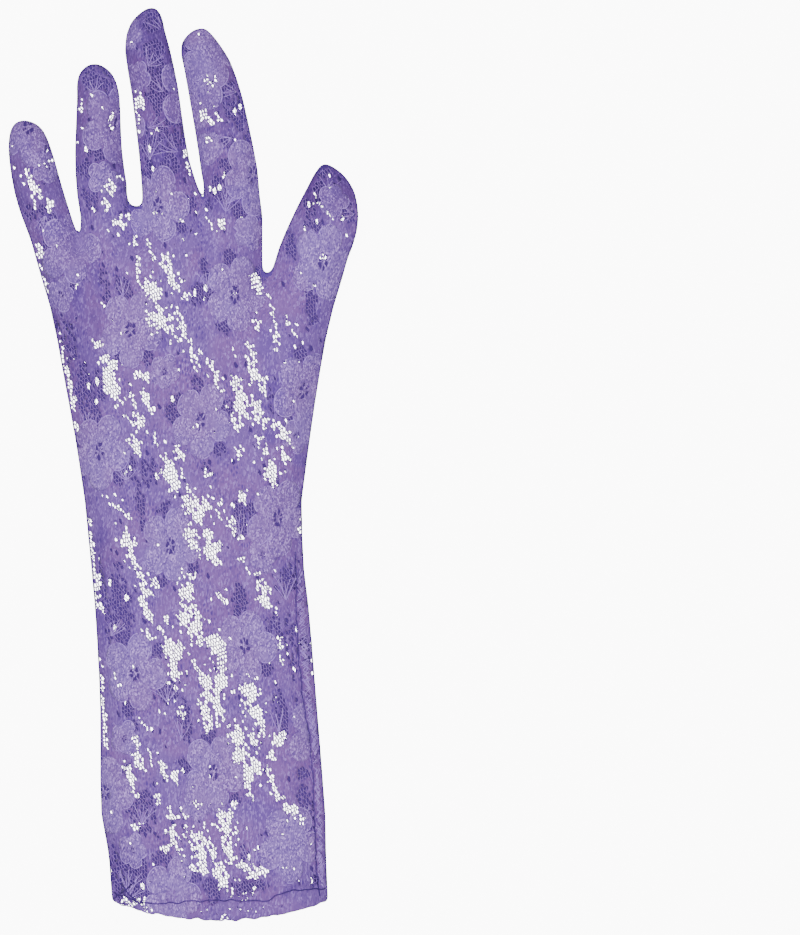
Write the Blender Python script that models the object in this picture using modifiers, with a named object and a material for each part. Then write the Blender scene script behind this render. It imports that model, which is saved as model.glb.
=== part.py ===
"""A long openwork lace glove for the left hand, lying palm down.

Units are metres, with +Z up. The fingertips point along +Y, the thumb is on the +X side, and
the glove lies on z = 0 with the origin under the middle of its box. It is cut as two lace
panels, back and palm, whose edges meet in a seam round the whole outline. A doubled hem runs
round the open mouth, and the seam's spare cloth lies inside the thumb side of the forearm.
"""

import math
from collections import namedtuple

import bmesh
import bpy
from mathutils import Matrix, Vector
from mathutils.geometry import intersect_point_line

# Lengths along the glove
FOREARM_LENGTH = 0.1608
HAND_LENGTH = 0.0908
MOUTH_BOW = 0.0072
LITTLE_SIDE_RISE = 0.0134
INDEX_SIDE_RISE = 0.0235

# Widths across the glove
MOUTH_WIDTH = 0.0862
WRIST_WIDTH = 0.0866
PALM_WIDTH = 0.0886
FOREARM_LEAN = 0.0108

# Fingers, from the middle of the root to the tip
LITTLE_LENGTH = 0.0488
LITTLE_WIDTH = 0.0186
RING_LENGTH = 0.0631
RING_WIDTH = 0.0209
MIDDLE_LENGTH = 0.0784
MIDDLE_WIDTH = 0.0225
INDEX_LENGTH = 0.0726
INDEX_WIDTH = 0.0221
THUMB_LENGTH = 0.0447
THUMB_WIDTH = 0.0285
THUMB_CROTCH_WIDTH = 0.0040

# Thickness of the lying glove and of its cloth
HAND_THICKNESS = 0.0130
FINGER_THICKNESS = 0.0098
SEAM_HEIGHT = 0.0024
WALL = 0.0013
CLEARANCE = 0.0003

# Roundness: how far in from an edge the back and the underside level out
BACK_ROLL = 0.020
UNDER_ROLL = 0.006
ROUNDNESS = 2.4
CROTCH_BLEND = 0.025

# Hem at the mouth, and the spare cloth of the side seam
HEM_DEPTH = 0.0066
HEM_WALL = 0.0022
ALLOWANCE_LENGTH = 0.1250
ALLOWANCE_WIDTH = 0.0030
ALLOWANCE_INSET = 0.0028
ALLOWANCE_THICKNESS = 0.0010

# The lace repeat: one flower, and the steps to the next ones along and across
FLOWER_X = -0.0088
FLOWER_Y = -0.0184
REPEAT_ALONG = Vector((-0.0128, -0.0505))
REPEAT_ACROSS = Vector((0.0429, 0.0112))
REPEAT_REACH = 5
GAP_SIDES = 8
GAP_MARGIN = 0.0028
GAP_CUTTER_HEIGHT = 0.060

# Open gaps of the ground round one flower: place from its eye, size, and lean to the left
Gap = namedtuple("Gap", "x y width length lean")
REPEAT_GAPS = (
    Gap(0.0056, -0.0245, 0.0064, 0.0150, 14.0),
    Gap(-0.0104, -0.0208, 0.0056, 0.0140, 8.0),
    Gap(0.0102, 0.0134, 0.0054, 0.0096, 18.0),
    Gap(0.0152, 0.0024, 0.0060, 0.0090, 26.0),
    Gap(0.0246, -0.0026, 0.0040, 0.0100, 20.0),
)

# Gaps of the fingers, at shares of the finger's length and width. The thumb is finger 4.
FingerGap = namedtuple("FingerGap", "finger along across width length lean")
FINGER_GAPS = (
    FingerGap(0, 0.42, 0.41, 0.0046, 0.0090, 5.0),
    FingerGap(0, 0.28, 0.63, 0.0036, 0.0060, 20.0),
    FingerGap(1, 0.15, 0.60, 0.0050, 0.0110, 8.0),
    FingerGap(3, 0.53, 0.42, 0.0060, 0.0120, 25.0),
    FingerGap(3, 0.70, 0.52, 0.0046, 0.0064, 30.0),
    FingerGap(4, 0.58, 0.45, 0.0040, 0.0080, 10.0),
)

# Crotches between the four fingers: height above the thumb's crotch, and width
Crotch = namedtuple("Crotch", "rise width")
CROTCHES = (
    Crotch(rise=0.0156, width=0.0016),
    Crotch(rise=0.0269, width=0.0056),
    Crotch(rise=0.0307, width=0.0016),
)

# Finger outlines at shares of the length from root to tip. The widths are shares of the
# finger's width, and the shifts, in the same shares, move the middle to the thumb side.
FINGER_STATIONS = (0.0, 0.2, 0.4, 0.6, 0.8, 0.9, 0.96, 1.0)
Finger = namedtuple("Finger", "length width lean widths shifts")
FINGERS = (
    Finger(
        LITTLE_LENGTH, LITTLE_WIDTH, -16.1,
        widths=(0.98, 0.99, 1.00, 0.96, 0.85, 0.70, 0.48, 0.18),
        shifts=(0.0, -0.03, -0.045, -0.02, 0.015, 0.03, 0.01, -0.02),
    ),
    Finger(
        RING_LENGTH, RING_WIDTH, -3.9,
        widths=(0.93, 0.95, 0.89, 0.84, 0.79, 0.71, 0.52, 0.17),
        shifts=(0.0, -0.02, -0.04, -0.01, 0.03, 0.01, -0.01, -0.02),
    ),
    Finger(
        MIDDLE_LENGTH, MIDDLE_WIDTH, -5.9,
        widths=(1.03, 0.86, 0.82, 0.81, 0.77, 0.63, 0.46, 0.14),
        shifts=(0.0, -0.06, -0.085, -0.105, -0.165, -0.155, -0.09, -0.02),
    ),
    Finger(
        INDEX_LENGTH, INDEX_WIDTH, -10.3,
        widths=(1.03, 1.00, 0.96, 0.925, 0.82, 0.69, 0.50, 0.18),
        shifts=(0.0, 0.045, 0.05, 0.04, -0.01, -0.08, -0.09, -0.03),
    ),
)
THUMB = Finger(
    THUMB_LENGTH, THUMB_WIDTH, 9.0,
    widths=(1.00, 0.97, 0.945, 0.845, 0.63, 0.45, 0.27, 0.08),
    shifts=(0.0, 0.04, 0.11, 0.15, 0.15, 0.11, 0.07, 0.01),
)
SQUARING_SHARE = 0.3

# Forearm from the wrist to the mouth: shift is a share of FOREARM_LEAN, and width a share of
# the even taper from the wrist's width to the mouth's
FOREARM_STATIONS = (0.0, 0.15, 0.25, 0.50, 0.75, 0.835, 0.90, 1.0)
FOREARM_SHIFTS = (0.0, 0.14, 0.30, 0.56, 0.72, 0.815, 0.93, 1.0)
FOREARM_WIDTHS = (1.0, 0.98, 0.985, 1.0, 1.035, 1.03, 0.995, 1.0)
BOW_START = 0.80

# Hand from the wrist to the thumb's crotch: how much of its spread each side has taken
HAND_STATIONS = (0.0, 0.265, 0.53, 0.795, 0.883, 1.0)
LITTLE_SIDE_SPREAD = (0.0, 0.205, 0.455, 0.705, 0.82, 1.0)
THUMB_SIDE_SPREAD = (0.0, 0.19, 0.405, 0.667, 0.81, 1.0)
LITTLE_SIDE_SHARE = 0.515

# Mesh density
FINGER_COLUMNS = (0.0, 0.18, 0.5, 0.82, 1.0)
FINGER_ROWS = (0.09, 0.2, 0.32, 0.45, 0.58, 0.7, 0.8, 0.88, 0.94, 0.975, 1.0)
FOREARM_ROWS = 11
HAND_ROWS = 7
KNUCKLE_ROWS = 3

# Colours, as linear red, green and blue
BACK_LAVENDER = (0.27, 0.20, 0.50)
PALM_VIOLET = (0.19, 0.13, 0.40)
HEM_MAUVE = (0.30, 0.21, 0.50)
SEAM_PURPLE = (0.22, 0.15, 0.42)
CLOTH_ROUGHNESS = 0.85

# A point of the glove seen from above, with the height of its back and of its underside
Spot = namedtuple("Spot", "x y back under")


def smooth_read(stations, values, at):
    """Reads a short table on a smooth curve through its values."""
    index = 0
    while index < len(stations) - 2 and at > stations[index + 1]:
        index += 1
    span = stations[index + 1] - stations[index]
    share = (at - stations[index]) / span

    def slope(place):
        before = max(place - 1, 0)
        after = min(place + 1, len(stations) - 1)
        return (values[after] - values[before]) / (stations[after] - stations[before])

    start = values[index]
    end = values[index + 1]
    cubed = share ** 3
    squared = share ** 2
    return (
        (2.0 * cubed - 3.0 * squared + 1.0) * start
        + (cubed - 2.0 * squared + share) * span * slope(index)
        + (3.0 * squared - 2.0 * cubed) * end
        + (cubed - squared) * span * slope(index + 1)
    )


def mix(start, end, share):
    """Goes evenly from start to end."""
    return start + (end - start) * share


def ease(share):
    """Goes from 0 to 1 with a soft start and a soft end."""
    share = min(max(share, 0.0), 1.0)
    return share * share * (3.0 - 2.0 * share)


def swell(distance, roll):
    """How far the cloth has risen at a distance in from an edge, from 0 to 1."""
    share = min(max(distance / roll, 0.0), 1.0)
    return 1.0 - (1.0 - share) ** ROUNDNESS


def heights(inward, thickness, roll, tip_swell=1.0):
    """Height of the back and of the underside at a distance in from the nearest edge."""
    back_seam = SEAM_HEIGHT + CLEARANCE / 2.0
    under_seam = SEAM_HEIGHT - CLEARANCE / 2.0
    back = mix(back_seam, thickness, swell(inward, roll) * tip_swell)
    under = mix(under_seam, 0.0, swell(inward, UNDER_ROLL) * tip_swell)
    return back, under


def blend_heights(first, second, share):
    """Goes from one pair of heights to another."""
    return mix(first[0], second[0], share), mix(first[1], second[1], share)


def root_shares():
    """Columns over the four fingers and their crotches, as lengths from the little side."""
    lengths = []
    start = 0.0
    for index, finger in enumerate(FINGERS):
        root = finger.width * finger.widths[0]
        lengths.extend(start + root * share for share in FINGER_COLUMNS)
        start += root
        if index < len(CROTCHES):
            start += CROTCHES[index].width
    return [length / lengths[-1] for length in lengths], lengths[-1]


FINGER_SHARES, KNUCKLE_WIDTH = root_shares()
TRUNK_COLUMNS = len(FINGER_SHARES)
THUMB_ROOT = THUMB_WIDTH * THUMB.widths[0]
SPREAD_WIDTH = PALM_WIDTH + THUMB_CROTCH_WIDTH + THUMB_ROOT


def body_shares():
    """Columns over the whole hand at the thumb's crotch, thumb included."""
    palm = [share * PALM_WIDTH for share in FINGER_SHARES]
    thumb = [PALM_WIDTH + THUMB_CROTCH_WIDTH + THUMB_ROOT * share for share in FINGER_COLUMNS]
    return [length / SPREAD_WIDTH for length in palm + thumb]


BODY_SHARES = body_shares()


def forearm_point(along, across):
    """A point of the forearm: along from wrist to mouth, across from the little side."""
    width = mix(WRIST_WIDTH, MOUTH_WIDTH, along) * smooth_read(
        FOREARM_STATIONS, FOREARM_WIDTHS, along)
    middle = FOREARM_LEAN * smooth_read(FOREARM_STATIONS, FOREARM_SHIFTS, along)
    bow = MOUTH_BOW * ease((along - BOW_START) / (1.0 - BOW_START))
    hang = bow * (1.0 - (2.0 * across - 1.0) ** 2)
    return Vector((middle + width * (across - 0.5), -along * FOREARM_LENGTH - hang))


def hand_edges(along):
    """The two sides of the hand, from the wrist to the thumb's crotch."""
    spread = SPREAD_WIDTH - WRIST_WIDTH
    little = smooth_read(HAND_STATIONS, LITTLE_SIDE_SPREAD, along)
    thumb = smooth_read(HAND_STATIONS, THUMB_SIDE_SPREAD, along)
    left = -WRIST_WIDTH / 2.0 - spread * LITTLE_SIDE_SHARE * little
    right = WRIST_WIDTH / 2.0 + spread * (1.0 - LITTLE_SIDE_SHARE) * thumb
    return left, right


def inward_of(places, index):
    """Distance from one place in a row to the nearer end of the row."""
    return min(places[index] - places[0], places[-1] - places[index])


def forearm_row(along):
    """One row of the forearm, the hem's rows included."""
    row = []
    points = [forearm_point(along, share) for share in BODY_SHARES]
    places = [point.x for point in points]
    for index, point in enumerate(points):
        pair = heights(inward_of(places, index), HAND_THICKNESS, BACK_ROLL)
        row.append(Spot(point.x, point.y, *pair))
    return row


def hand_row(along):
    """One row of the hand below the thumb's crotch, where palm and thumb part."""
    left, right = hand_edges(along)
    places = [mix(left, right, share) for share in BODY_SHARES]
    palm = places[:TRUNK_COLUMNS]
    thumb = places[TRUNK_COLUMNS:]
    parting = ease(1.0 - (1.0 - along) * HAND_LENGTH / CROTCH_BLEND)
    row = []
    for index, place in enumerate(places):
        whole = heights(inward_of(places, index), HAND_THICKNESS, BACK_ROLL)
        if index < TRUNK_COLUMNS:
            own = heights(inward_of(palm, index), HAND_THICKNESS, BACK_ROLL)
        else:
            own = heights(inward_of(thumb, index - TRUNK_COLUMNS), FINGER_THICKNESS, THUMB_ROOT / 2)
        row.append(Spot(place, along * HAND_LENGTH, *blend_heights(whole, own, parting)))
    return row


def knuckle_rises():
    """Heights of the finger roots above the thumb's crotch, a value for each column."""
    posts = [LITTLE_SIDE_RISE] + [crotch.rise for crotch in CROTCHES] + [INDEX_SIDE_RISE]
    rises = []
    for index in range(len(FINGERS)):
        rises.extend(mix(posts[index], posts[index + 1], share) for share in FINGER_COLUMNS)
    return rises


def knuckle_row(share, thumb_row):
    """One row between the thumb's crotch and the roots of the fingers."""
    left, right = thumb_row[0].x, thumb_row[TRUNK_COLUMNS - 1].x
    places = [
        mix(mix(left, right, part), right - KNUCKLE_WIDTH * (1.0 - part), share)
        for part in FINGER_SHARES
    ]
    columns = len(FINGER_COLUMNS)
    row = []
    for index, (place, rise) in enumerate(zip(places, knuckle_rises())):
        first = index // columns * columns
        finger = places[first:first + columns]
        roll = (finger[-1] - finger[0]) / 2.0
        palm_pair = heights(inward_of(places, index), HAND_THICKNESS, BACK_ROLL)
        own_pair = heights(inward_of(finger, index - first), FINGER_THICKNESS, roll)
        pair = blend_heights(palm_pair, own_pair, ease(share))
        row.append(Spot(place, HAND_LENGTH + rise * share, *pair))
    return row


def finger_sides(finger, root, along):
    """The two sides of a finger at a share of its length. The root is a row of spots."""
    root_start = Vector((root[0].x, root[0].y))
    root_end = Vector((root[-1].x, root[-1].y))
    lean = math.radians(finger.lean)
    axis = Vector((math.sin(lean), math.cos(lean)))
    square = Vector((axis.y, -axis.x))
    chord = (root_end - root_start).normalized()
    width = finger.width * smooth_read(FINGER_STATIONS, finger.widths, along)
    shift = finger.width * smooth_read(FINGER_STATIONS, finger.shifts, along)
    middle = (root_start + root_end) / 2.0 + axis * finger.length * along + square * shift
    across = chord.lerp(square, ease(along / SQUARING_SHARE)).normalized()
    return middle - across * width / 2.0, middle + across * width / 2.0


def finger_rows(finger, root):
    """The rows of one finger above its root."""
    rows = []
    roll = finger.width / 2.0
    for along in FINGER_ROWS:
        start, end = finger_sides(finger, root, along)
        tip_swell = swell((1.0 - along) * finger.length, roll)
        row = []
        for share in FINGER_COLUMNS:
            place = start.lerp(end, share)
            inward = min(share, 1.0 - share) * (end - start).length
            row.append(Spot(place.x, place.y, *heights(inward, FINGER_THICKNESS, roll, tip_swell)))
        rows.append(row)
    return rows


def finger_roots(body, knuckles):
    """The root row of each finger, the thumb last."""
    columns = len(FINGER_COLUMNS)
    starts = range(0, len(FINGERS) * columns, columns)
    return [knuckles[-1][start:start + columns] for start in starts] + [body[-1][TRUNK_COLUMNS:]]


def lay_out():
    """All rows of the glove, shifted so that the origin is in the middle of its box."""
    panel_end = 1.0 - (HEM_DEPTH + CLEARANCE) / FOREARM_LENGTH
    body = [forearm_row(panel_end * (1.0 - step / FOREARM_ROWS)) for step in range(FOREARM_ROWS)]
    body += [hand_row(step / HAND_ROWS) for step in range(HAND_ROWS + 1)]
    knuckles = [knuckle_row((step + 1) / KNUCKLE_ROWS, body[-1]) for step in range(KNUCKLE_ROWS)]
    roots = finger_roots(body, knuckles)
    fingers = [finger_rows(finger, root) for finger, root in zip(FINGERS + (THUMB,), roots)]
    hem = [forearm_row(1.0), forearm_row(1.0 - HEM_DEPTH / FOREARM_LENGTH)]
    spots = [spot for row in body + knuckles + hem for spot in row]
    spots += [spot for rows in fingers for row in rows for spot in row]
    middle_x = (min(spot.x for spot in spots) + max(spot.x for spot in spots)) / 2.0
    middle_y = (min(spot.y for spot in spots) + max(spot.y for spot in spots)) / 2.0

    def shifted(rows):
        return [[spot._replace(x=spot.x - middle_x, y=spot.y - middle_y) for spot in row]
                for row in rows]

    return {
        "body": shifted(body),
        "knuckles": shifted(knuckles),
        "fingers": [shifted(rows) for rows in fingers],
        "hem": shifted(hem),
        "offset": Vector((-middle_x, -middle_y)),
    }


def trunk_outline(layout):
    """The panels' outline from the hem to the roots of the fingers, as one closed ring."""
    body = layout["body"]
    knuckles = layout["knuckles"]
    ring = [row[0] for row in body + knuckles]
    ring += knuckles[-1][1:]
    ring += [row[-1] for row in knuckles[-2::-1]]
    ring += body[-1][TRUNK_COLUMNS - 1:]
    ring += [row[-1] for row in body[-2::-1]]
    ring += body[0][-2:0:-1]
    return [Vector((spot.x, spot.y)) for spot in ring]


def edge_distance(point, outline):
    """Distance from a point to the outline, below zero where the point is outside it."""
    nearest = math.inf
    inside = False
    for start, end in zip(outline, outline[1:] + outline[:1]):
        foot, share = intersect_point_line(point, start, end)
        foot = start.lerp(end, min(max(share, 0.0), 1.0))
        nearest = min(nearest, (point - foot).length)
        if (start.y > point.y) != (end.y > point.y):
            crossing = mix(start.x, end.x, (point.y - start.y) / (end.y - start.y))
            if point.x < crossing:
                inside = not inside
    return nearest if inside else -nearest


def cloth(name, color):
    """A matt cloth material."""
    material = bpy.data.materials.new(name)
    material.use_nodes = True
    shader = material.node_tree.nodes["Principled BSDF"]
    shader.inputs["Base Color"].default_value = (*color, 1.0)
    shader.inputs["Roughness"].default_value = CLOTH_ROUGHNESS
    shader.inputs["Metallic"].default_value = 0.0
    return material


def add_object(name, mesh, collection, material=None):
    """Puts a mesh into the scene under a name."""
    item = bpy.data.objects.new(name, mesh)
    if material:
        mesh.materials.append(material)
    collection.objects.link(item)
    return item


def join_rows(bm, rows):
    """Skins neighbouring rows of vertices with faces that look up."""
    for lower, upper in zip(rows, rows[1:]):
        for index in range(len(lower) - 1):
            corners = (lower[index], lower[index + 1], upper[index + 1], upper[index])
            bm.faces.new(corners)


def panel_sheet(layout, height_name):
    """One open sheet over the whole outline, at the height of the back or the underside."""
    bm = bmesh.new()

    def vertices(row):
        return [bm.verts.new((spot.x, spot.y, getattr(spot, height_name))) for spot in row]

    body = [vertices(row) for row in layout["body"]]
    knuckles = [body[-1][:TRUNK_COLUMNS]] + [vertices(row) for row in layout["knuckles"]]
    join_rows(bm, body)
    join_rows(bm, knuckles)
    for root, rows in zip(finger_roots(body, knuckles), layout["fingers"]):
        join_rows(bm, [root] + [vertices(row) for row in rows])
    return bm


def thickened(name, sheet, wall, collection, material):
    """Gives an open sheet its wall on the side that its faces look away from."""
    mesh = bpy.data.meshes.new(name + "_sheet")
    sheet.to_mesh(mesh)
    sheet.free()
    draft = add_object(name + "_draft", mesh, collection)
    solidify = draft.modifiers.new("Wall", "SOLIDIFY")
    solidify.thickness = wall
    solidify.offset = -1.0
    bpy.context.view_layer.update()
    graph = bpy.context.evaluated_depsgraph_get()
    solid = bpy.data.meshes.new_from_object(draft.evaluated_get(graph))
    solid.name = name
    bpy.data.objects.remove(draft)
    bpy.data.meshes.remove(mesh)
    return add_object(name, solid, collection, material)


def make_panel(name, layout, collection, material):
    """One lace panel, its rim flat along the seam that both panels share."""
    is_back = name == "back_panel"
    sheet = panel_sheet(layout, "back" if is_back else "under")
    if not is_back:
        bmesh.ops.reverse_faces(sheet, faces=sheet.faces)
    panel = thickened(name, sheet, WALL, collection, material)
    for vertex in panel.data.vertices:
        if is_back:
            vertex.co.z = max(vertex.co.z, SEAM_HEIGHT + CLEARANCE / 2.0)
        else:
            vertex.co.z = min(vertex.co.z, SEAM_HEIGHT - CLEARANCE / 2.0)
    return panel


def repeat_flowers(offset):
    """The eyes of the lace flowers, laid over the glove step by step."""
    start = Vector((FLOWER_X, FLOWER_Y)) + offset
    steps = range(-REPEAT_REACH, REPEAT_REACH + 1)
    return [start + REPEAT_ALONG * down + REPEAT_ACROSS * over for down in steps for over in steps]


def gap_turn(gap):
    """A gap's lean as a turn about the upright axis."""
    return Matrix.Rotation(math.radians(gap.lean), 4, "Z")


def gap_fits(place, gap, outline):
    """Whether a gap leaves whole cloth all round it inside the outline."""
    reach = (gap_turn(gap) @ Vector((0.0, gap.length / 2.0, 0.0))).xy
    ends = (place + reach, place - reach)
    middle_room = edge_distance(place, outline) - gap.width / 2.0
    return min([middle_room] + [edge_distance(end, outline) for end in ends]) > GAP_MARGIN


def add_gap(bm, place, gap):
    """Adds one gap's upright prism."""
    size = Matrix.Diagonal((gap.width, gap.length, 1.0, 1.0))
    bmesh.ops.create_cone(
        bm, cap_ends=True, segments=GAP_SIDES, radius1=0.5, radius2=0.5,
        depth=GAP_CUTTER_HEIGHT,
        matrix=Matrix.Translation((place.x, place.y, 0.0)) @ gap_turn(gap) @ size)


def make_gap_cutter(layout, collection):
    """All open gaps of the lace as upright prisms: the repeat's where they fit, then the
    fingers' own."""
    outline = trunk_outline(layout)
    bm = bmesh.new()
    for flower in repeat_flowers(layout["offset"]):
        for gap in REPEAT_GAPS:
            place = flower + Vector((gap.x, gap.y))
            if gap_fits(place, gap, outline):
                add_gap(bm, place, gap)
    roots = finger_roots(layout["body"], layout["knuckles"])
    fingers = FINGERS + (THUMB,)
    for gap in FINGER_GAPS:
        start, end = finger_sides(fingers[gap.finger], roots[gap.finger], gap.along)
        add_gap(bm, start.lerp(end, gap.across), gap)
    mesh = bpy.data.meshes.new("lace_gaps")
    bm.to_mesh(mesh)
    bm.free()
    cutter = add_object("lace_gaps", mesh, collection)
    cutter.hide_render = True
    cutter.display_type = "WIRE"
    return cutter


def pierce(panel, cutter):
    """Cuts the gaps through one panel."""
    cut = panel.modifiers.new("Lace gaps", "BOOLEAN")
    cut.operation = "DIFFERENCE"
    cut.solver = "EXACT"
    cut.object = cutter


def make_hem(layout, collection, material):
    """The doubled band round the mouth, one closed ring."""
    bm = bmesh.new()
    rings = []
    for row in layout["hem"]:
        upper = [(spot.x, spot.y, spot.back) for spot in row[1:-1]]
        lower = [(spot.x, spot.y, spot.under) for spot in row[1:-1]]
        little_side = (row[0].x, row[0].y, SEAM_HEIGHT)
        thumb_side = (row[-1].x, row[-1].y, SEAM_HEIGHT)
        ring = [little_side] + upper + [thumb_side] + lower[::-1]
        rings.append([bm.verts.new(place) for place in ring])
    join_rows(bm, [ring + ring[:1] for ring in rings])
    return thickened("cuff_hem", bm, HEM_WALL, collection, material)


def make_allowance(layout, collection, material):
    """The seam's spare cloth, a strip inside the thumb side of the forearm."""
    bm = bmesh.new()
    start = 1.0 - (HEM_DEPTH + CLEARANCE) / FOREARM_LENGTH
    stop = start - ALLOWANCE_LENGTH / FOREARM_LENGTH
    rows = []
    for step in range(FOREARM_ROWS):
        along = mix(start, stop, step / (FOREARM_ROWS - 1))
        edge = forearm_point(along, 1.0) + layout["offset"]
        outer = edge.x - ALLOWANCE_INSET
        places = (outer - ALLOWANCE_WIDTH, outer)
        height = SEAM_HEIGHT + ALLOWANCE_THICKNESS / 2.0
        rows.append([bm.verts.new((place, edge.y, height)) for place in places])
    join_rows(bm, rows)
    return thickened("side_seam", bm, ALLOWANCE_THICKNESS, collection, material)


def main():
    for item in list(bpy.data.objects):
        bpy.data.objects.remove(item)
    glove = bpy.data.collections.new("openwork_glove")
    cutters = bpy.data.collections.new("cutters")
    for collection in (glove, cutters):
        bpy.context.scene.collection.children.link(collection)

    layout = lay_out()
    gaps = make_gap_cutter(layout, cutters)
    back = make_panel("back_panel", layout, glove, cloth("back_lace", BACK_LAVENDER))
    palm = make_panel("palm_panel", layout, glove, cloth("palm_lace", PALM_VIOLET))
    pierce(back, gaps)
    pierce(palm, gaps)
    make_hem(layout, glove, cloth("hem_lace", HEM_MAUVE))
    make_allowance(layout, glove, cloth("seam_cloth", SEAM_PURPLE))


main()
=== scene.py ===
"""A long openwork lace glove for the left hand, lying palm down on a pale floor.

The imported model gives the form: the outline, the heights of the back and the palm, the hem and
the side seam's spare cloth. The lace is made here: on each side a ground of six-sided meshes,
closed to clothwork or left open as net, with raised flowers and cords. Units are metres.
"""

import math
from collections import namedtuple

import bmesh
import bpy
import numpy as np
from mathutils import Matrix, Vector, noise
from mathutils.bvhtree import BVHTree
from mathutils.geometry import convex_hull_2d
from mathutils.kdtree import KDTree


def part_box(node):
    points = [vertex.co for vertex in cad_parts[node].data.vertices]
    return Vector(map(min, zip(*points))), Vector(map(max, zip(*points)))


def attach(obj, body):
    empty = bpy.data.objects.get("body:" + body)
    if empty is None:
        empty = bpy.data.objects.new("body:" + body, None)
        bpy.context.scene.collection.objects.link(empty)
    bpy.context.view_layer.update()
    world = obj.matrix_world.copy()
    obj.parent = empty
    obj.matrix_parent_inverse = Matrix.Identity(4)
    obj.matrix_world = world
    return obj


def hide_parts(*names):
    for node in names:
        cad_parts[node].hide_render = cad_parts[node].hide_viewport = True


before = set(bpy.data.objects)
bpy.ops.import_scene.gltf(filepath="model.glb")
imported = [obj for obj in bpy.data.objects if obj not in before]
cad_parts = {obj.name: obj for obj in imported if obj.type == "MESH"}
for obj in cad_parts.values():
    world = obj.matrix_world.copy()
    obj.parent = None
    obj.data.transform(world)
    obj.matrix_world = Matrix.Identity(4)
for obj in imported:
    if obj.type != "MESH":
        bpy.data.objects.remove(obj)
bpy.ops.object.select_all(action="DESELECT")
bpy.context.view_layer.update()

# The lace chart, in steps to the right and down from its top left corner
CHART_STEP = 0.000401
CHART_MIDDLE = (183.25, 463.5)
CHART_AXES = (CHART_STEP, -CHART_STEP)

# Ground of the lace: six-sided meshes in rows, leaning more on the back than below. The threads
# of the back's windows are drawn coarser than the real ones, which are too fine to show
Lattice = namedtuple("Lattice", "width row side lean wander")
BACK_MESHES = Lattice(0.00110, 0.00156, 0.00104, math.radians(21.0), 0.00017)
PALM_MESHES = Lattice(0.00130, 0.00166, 0.00104, math.radians(5.0), 0.00018)
MESH_LEAN = math.radians(18.0)
WINDOW_LEAN = math.radians(24.0)
SPAN_LIMIT = 0.0030
GROUND_MARGIN = 0.004
CLOTH_THICKNESS = 0.00045
BACK_WINDOW_THREAD = 0.00071
DEEP_WINDOW_SHARE = 0.80
PALM_WINDOW_THREAD = 0.00018
UNDER_WINDOW = 0.00115
NET_THREAD = 0.00044

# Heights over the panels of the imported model
SINK = 0.00045
SEAM_LEVEL = 0.0024
EDGE_PARTING = 0.00015
EDGE_ZONE = 0.0020
HEIGHT_PITCH = 0.00075
GRID_MARGIN = 0.003
ON_RIM = 0.0002
NEAR_RIM = 0.0016
MOUTH_RAGS = 260.0
MOUTH_WANDER = 0.0009

# Raised work
FLOWER_LIFT = 0.00016
FLOWER_THICKNESS = 0.00022
PETAL_SWELL = 0.00012
WINDOW_REACH = 0.00058
CORD_RADIUS = 0.00020
SEAM_CORD_RADIUS = 0.00030
STITCH_RADIUS = 0.00028
STITCH_LIFT = 0.00055
HATCH_LIFT = STITCH_LIFT - 0.0002
HATCH_PITCH = 0.0005
HATCH_INSETS = (0.0004, 0.0008)
HATCH_SLANT = (0.0020, 0.0055)
HEM_LIFT = 0.00030
HEM_THICKNESS = 0.00070
ALLOWANCE_INSETS = (0.0008, 0.0048)
ALLOWANCE_THICKNESS = 0.0006

# Rows of stitches on the chart: round the mouth, and down the side seam
HEM_STITCHES = ((114, 892), (130, 898), (145, 903), (165, 902), (200, 900), (245, 899), (265, 900),
                (275, 896), (285, 891), (300, 889), (327, 888))
TACKS = (((114, 899), (124, 891), (135, 882)), ((121, 885), (133, 898), (144, 904)))
SIDE_STITCHES = ((295.5, 552), (296.5, 600), (297.0, 640), (300.0, 672), (302.8, 698), (309.0, 736),
                 (312.8, 776), (315.1, 828), (316.6, 874), (319.7, 896))

# Main flowers of the chart, by their eyes
MAIN_FLOWERS = (
    (158, 206), (235, 295), (131, 330), (201, 421), (304, 391), (100, 451), (278, 518),
    (171, 546), (245, 645), (135, 673), (214, 772), (105, 793), (323, 262), (253, 174),
    (112, 123), (28, 127), (172, 895),
)
PLAIN_FLOWERS = ((70, 248), (210, 51), (290, 842), (318, 734), (191, 94))
SMALL_FLOWERS = (
    (61, 295), (165, 372), (297, 435), (125, 738), (133, 850), (263, 555), (197, 804), (48, 167),
)
SMALL_PLAIN_FLOWERS = ((129, 34), (136, 78), (209, 148), (103, 178), (333, 201), (249, 232))
MAIN_REACH = (31.0, 40.0)
SMALL_REACH = (15.0, 18.0)
EYE_SHARE = (0.155, 0.20)

Mark = namedtuple("Mark", "x y width length share")


def by_share(kind, groups):
    """Marks of the chart, from rows in groups that have one share each."""
    return tuple(kind(*row, share) for share, *rows in groups for row in rows)


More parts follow.
